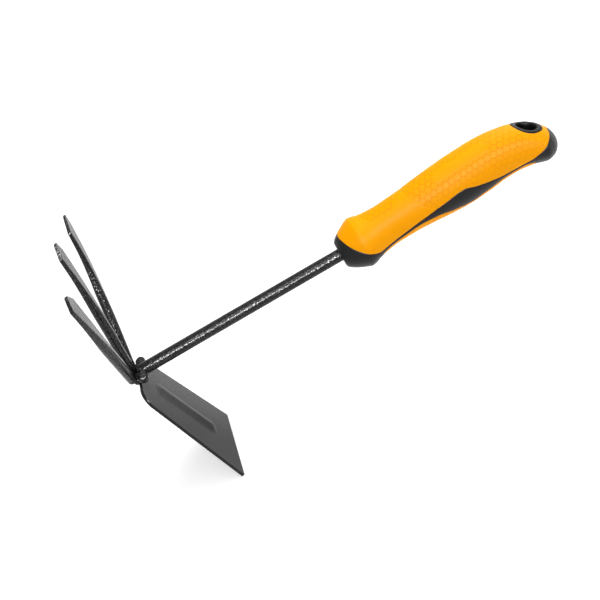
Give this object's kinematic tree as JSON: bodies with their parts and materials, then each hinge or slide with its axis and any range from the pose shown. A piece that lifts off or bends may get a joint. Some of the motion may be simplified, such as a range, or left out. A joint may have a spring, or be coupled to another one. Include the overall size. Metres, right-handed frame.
{
  "type": "hand hoe and rake",
  "caption": "Hand garden tool: a flat hoe blade and a three-tine rake back to back on a steel shaft, with a soft-inlaid moulded grip that has a hanging hole.",
  "frame": {"origin": "middle of the hanging hole through the grip, on the hole's axis", "axes": "+X runs along the shaft from the head to the grip's end, +Z is the side the tines point to, +Y completes a right-handed frame; the part is symmetric about its XZ plane"},
  "size_m": [0.2963, 0.0956, 0.1954],
  "materials": {
    "painted_rod": "hammered dark grey powder coat, semi-gloss",
    "painted_blade": "fine sandy grey powder coat, satin",
    "painted_weld": "weld bead under the dark grey powder coat, semi-gloss",
    "hard_yellow": "yellow-orange moulded plastic, satin, with finely textured palm areas",
    "soft_black": "black soft-touch moulding, satin",
    "liner_black": "black moulded ring, semi-gloss"
  },
  "bodies": {
    "root": {"shaft": "painted_rod", "hoe_blade": "painted_blade", "tine_left": "painted_rod", "tine_middle": "painted_rod", "tine_right": "painted_rod", "root_weld": "painted_weld", "shaft_weld_left": "painted_weld", "shaft_weld_right": "painted_weld", "grip_core": "hard_yellow", "grip_overmould": "soft_black", "hang_hole_liner": "liner_black"}
  },
  "joints": []
}
